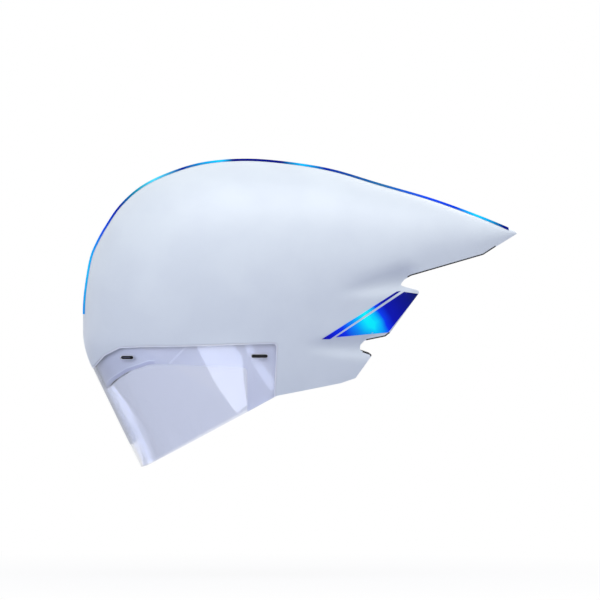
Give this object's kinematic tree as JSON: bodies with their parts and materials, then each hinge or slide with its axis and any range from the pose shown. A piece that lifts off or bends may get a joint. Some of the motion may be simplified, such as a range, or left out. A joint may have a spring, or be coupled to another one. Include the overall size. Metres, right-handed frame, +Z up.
{
  "type": "time trial cycling helmet",
  "caption": "Long-tail aero cycling helmet with a smooth shell, side fins, a clear wrap-around visor on magnets and a dial fit cradle inside.",
  "frame": {"origin": "centre of the head cavity, where the middle of the wearer's head sits", "axes": "-X towards the face, +X towards the tail, +Z up, -Y the wearer's left"},
  "size_m": [0.3729, 0.1968, 0.2648],
  "materials": {
    "shell_white": "satin",
    "foam_black": "matte",
    "frame_grey": "satin",
    "edging_black": "gloss",
    "foil_blue": "gloss",
    "lens_clear": "gloss",
    "insert_black": "matte",
    "magnet_steel": "satin",
    "seal_black": "matte",
    "pad_fabric": "matte",
    "fit_plastic": "matte",
    "dial_rubber": "matte",
    "pinion_grey": "satin",
    "webbing_black": "matte",
    "hardware_black": "satin"
  },
  "bodies": {
    "helmet": {"outer_shell": "shell_white", "foam_liner": "foam_black", "visor_frame": "frame_grey", "tail_cover": "edging_black", "fin_edging_left": "edging_black", "fin_edging_right": "edging_black", "ear_edging_left": "edging_black", "ear_edging_right": "edging_black", "crown_stripe": "foil_blue", "fin_film_left": "foil_blue", "fin_film_right": "foil_blue", "fin_line_left": "foil_blue", "fin_line_right": "foil_blue", "front_magnet_left": "magnet_steel", "front_magnet_right": "magnet_steel", "rear_magnet_left": "magnet_steel", "rear_magnet_right": "magnet_steel", "brow_seal": "seal_black", "brow_pad": "pad_fabric", "crown_pad_mid": "pad_fabric", "crown_pad_left": "pad_fabric", "crown_pad_right": "pad_fabric", "ear_pad_left": "pad_fabric", "ear_pad_right": "pad_fabric", "rail": "fit_plastic", "rail_anchor": "fit_plastic", "front_anchor_left": "hardware_black", "front_anchor_right": "hardware_black", "rear_anchor_left": "hardware_black", "rear_anchor_right": "hardware_black", "front_web_left": "webbing_black", "front_web_right": "webbing_black", "rear_web_left": "webbing_black", "rear_web_right": "webbing_black", "chin_web_left": "webbing_black", "chin_web_right": "webbing_black", "strap_divider_left": "hardware_black", "strap_divider_right": "hardware_black", "buckle_socket": "hardware_black", "buckle_plug": "hardware_black"},
    "visor": {"visor_lens": "lens_clear", "front_insert_left": "insert_black", "front_insert_right": "insert_black", "rear_insert_left": "insert_black", "rear_insert_right": "insert_black"},
    "cradle": {"cradle": "fit_plastic", "cradle_pad_left": "pad_fabric", "cradle_pad_right": "pad_fabric"},
    "dial": {"dial_knob": "dial_rubber", "dial_pinion": "pinion_grey"},
    "band_left": {"fit_band_left": "fit_plastic"},
    "band_right": {"fit_band_right": "fit_plastic"}
  },
  "joints": [
    {"name": "visor_release", "type": "slide", "parent": "helmet", "child": "visor", "axis": [-0.6428, 0, -0.766], "range_m": [0, 0.12]},
    {"name": "cradle_height", "type": "slide", "parent": "helmet", "child": "cradle", "axis": [0, 0, 1], "range_m": [-0.008, 0.008]},
    {"name": "dial_turn", "type": "hinge", "parent": "cradle", "child": "dial", "pos_m": [0.1, 0, -0.038], "axis": [1, 0, 0], "range_deg": [0, 220]},
    {"name": "band_right_pull", "type": "hinge", "parent": "cradle", "child": "band_right", "pos_m": [0.017, 0, -0.038], "axis": [0, 0, 1], "range_deg": [-12, 0]},
    {"name": "band_left_pull", "type": "hinge", "parent": "cradle", "child": "band_left", "pos_m": [0.017, 0, -0.038], "axis": [0, 0, 1], "range_deg": [0, 12]}
  ],
  "couplings": [
    {"joint": "band_right_pull", "follows": "dial_turn", "ratio": -0.0514},
    {"joint": "band_left_pull", "follows": "dial_turn", "ratio": 0.0514}
  ]
}
